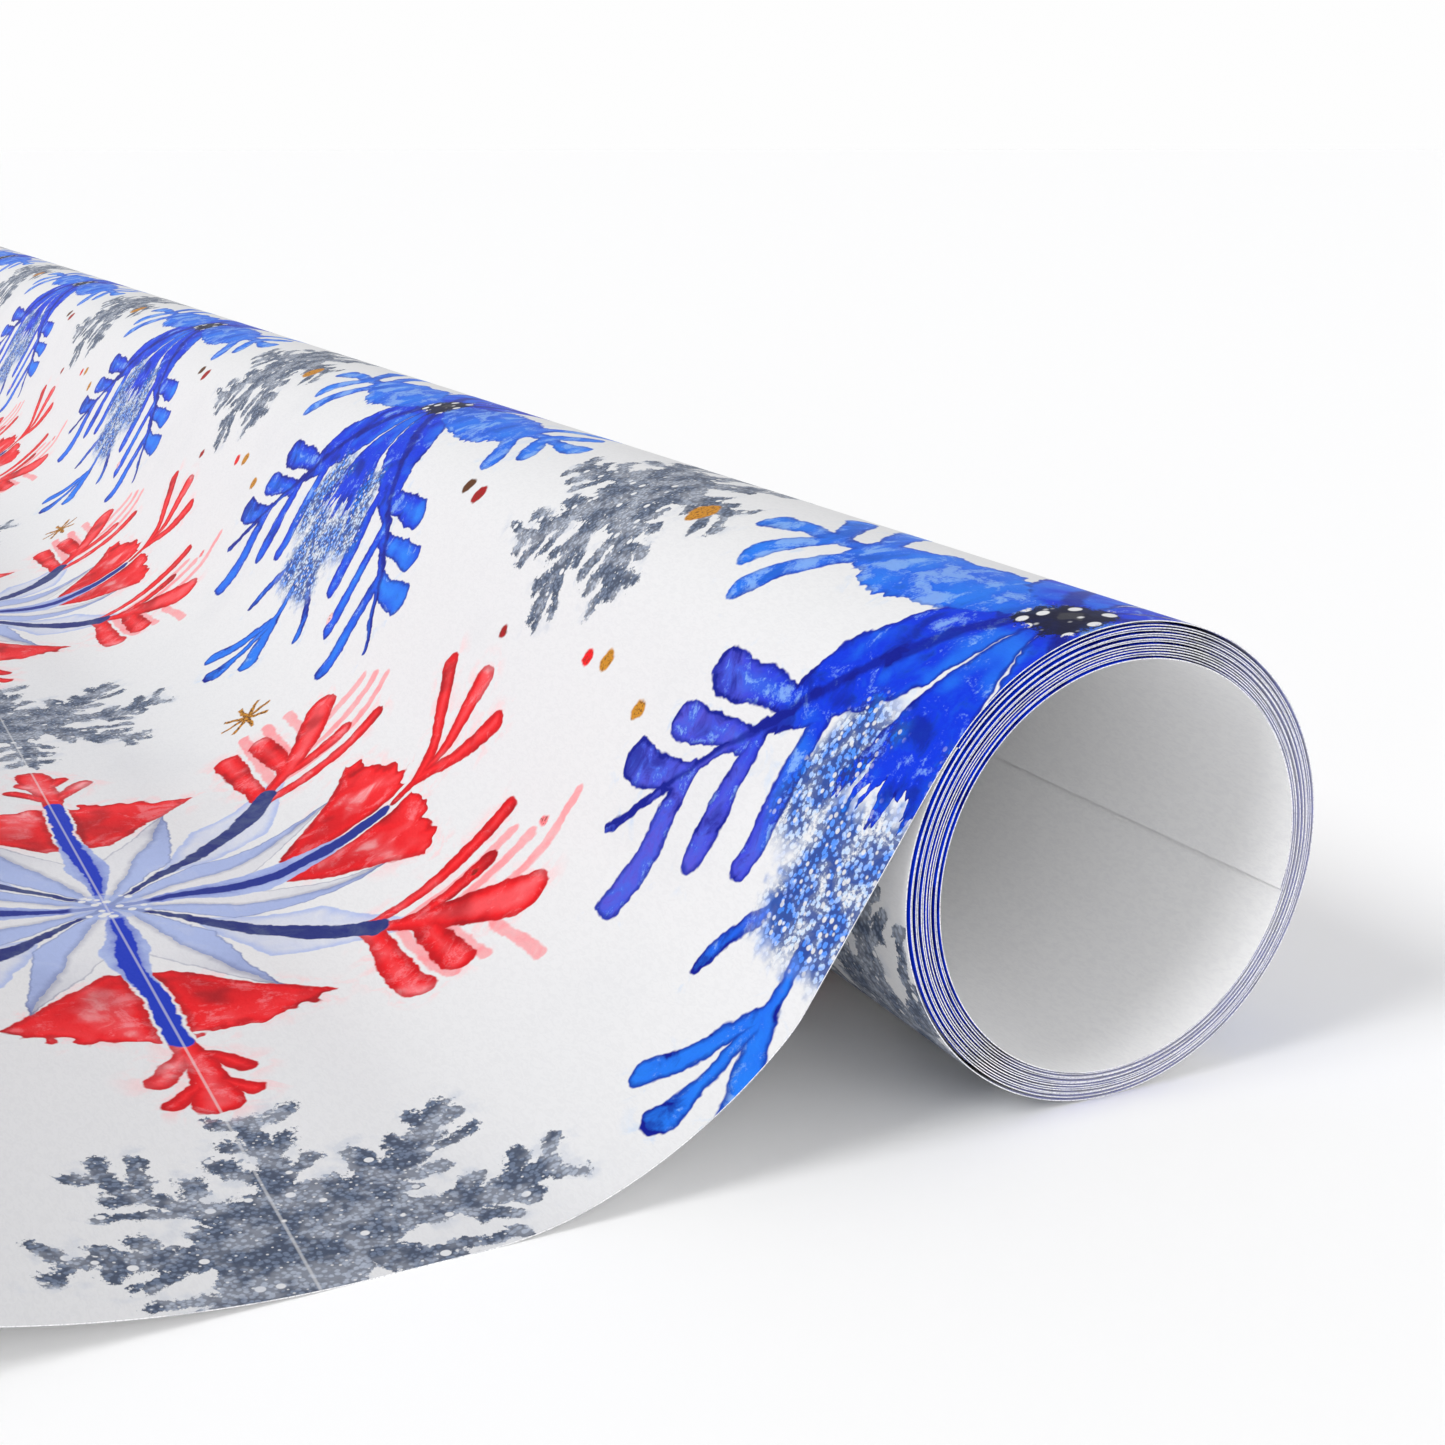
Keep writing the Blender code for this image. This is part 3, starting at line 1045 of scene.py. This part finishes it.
# A pale studio: white all round at eye level, softer overhead, a wide white card in front of the
# roll's near end, and one wide lamp high over the leaf. Heights are the sine of the elevation.
HORIZON = (0.99, 0.99, 0.99, 1.0)
CEILING = (0.575, 0.575, 0.58, 1.0)
HORIZON_BAND = (0.10, 0.30)
FRONT_CARD = (1.6, 1.6, 1.6, 1.0)
FRONT_CARD_EDGE = (-0.55, -0.95)
KEY_FROM = Vector((-0.80, -0.06, 0.68))
KEY_STRENGTH = 1.45
KEY_WIDTH = 22.0

# The camera's place is a number of roll radii from the roll's axis, its near end and the table. It
# looks down by the pitch, and to the right of the roll's direction by the yaw.
CAMERA_FROM_ROLL = Vector((-4.746, -5.982, 3.741))
CAMERA_PITCH = 16.06
CAMERA_YAW = 26.55
CAMERA_LENS = 50.0
CAMERA_SENSOR = 36.0


def lay_floor():
    bpy.ops.mesh.primitive_plane_add(size=FLOOR_SIZE)
    floor = bpy.context.object
    floor.name = "floor"
    finish = bpy.data.materials.new("studio_floor")
    finish.use_nodes = True
    shader = finish.node_tree.nodes["Principled BSDF"]
    shader.inputs["Base Color"].default_value = FLOOR_WHITE
    shader.inputs["Roughness"].default_value = FLOOR_ROUGHNESS
    shader.inputs["Specular IOR Level"].default_value = 0.1
    floor.data.materials.append(finish)


def light_studio():
    world = bpy.data.worlds.new("studio")
    world.use_nodes = True
    tree = world.node_tree
    direction = tree.nodes.new("ShaderNodeTexCoord")
    parts = tree.nodes.new("ShaderNodeSeparateXYZ")
    tree.links.new(direction.outputs["Generated"], parts.inputs[0])
    overhead = ramp(Term(tree, parts.outputs["Z"]), *HORIZON_BAND)
    in_front = ramp(Term(tree, parts.outputs["Y"]), *FRONT_CARD_EDGE)
    air = paint(tree, HORIZON, CEILING, overhead)
    light = paint(tree, air, FRONT_CARD, in_front, "ADD")
    plug(tree, tree.nodes["Background"].inputs["Color"], light)
    bpy.context.scene.world = world

    key = bpy.data.lights.new("key", "SUN")
    key.energy = KEY_STRENGTH
    key.angle = radians(KEY_WIDTH)
    lamp = bpy.data.objects.new("key", key)
    lamp.rotation_euler = KEY_FROM.to_track_quat("Z", "Y").to_euler()
    bpy.context.collection.objects.link(lamp)


def place_camera():
    lens = bpy.data.cameras.new("camera")
    lens.lens = CAMERA_LENS
    lens.sensor_width = CAMERA_SENSOR
    lens.clip_start = 0.01
    lens.clip_end = 100.0
    camera = bpy.data.objects.new("camera", lens)
    camera.location = Vector((AXIS.x, NEAR_END, 0.0)) + CAMERA_FROM_ROLL * ROLL_RADIUS
    camera.rotation_euler = Euler((radians(90.0 - CAMERA_PITCH), 0.0, radians(-CAMERA_YAW)))
    bpy.context.collection.objects.link(camera)
    bpy.context.scene.camera = camera


lay_floor()
light_studio()
place_camera()
bpy.context.scene.view_settings.view_transform = "Standard"
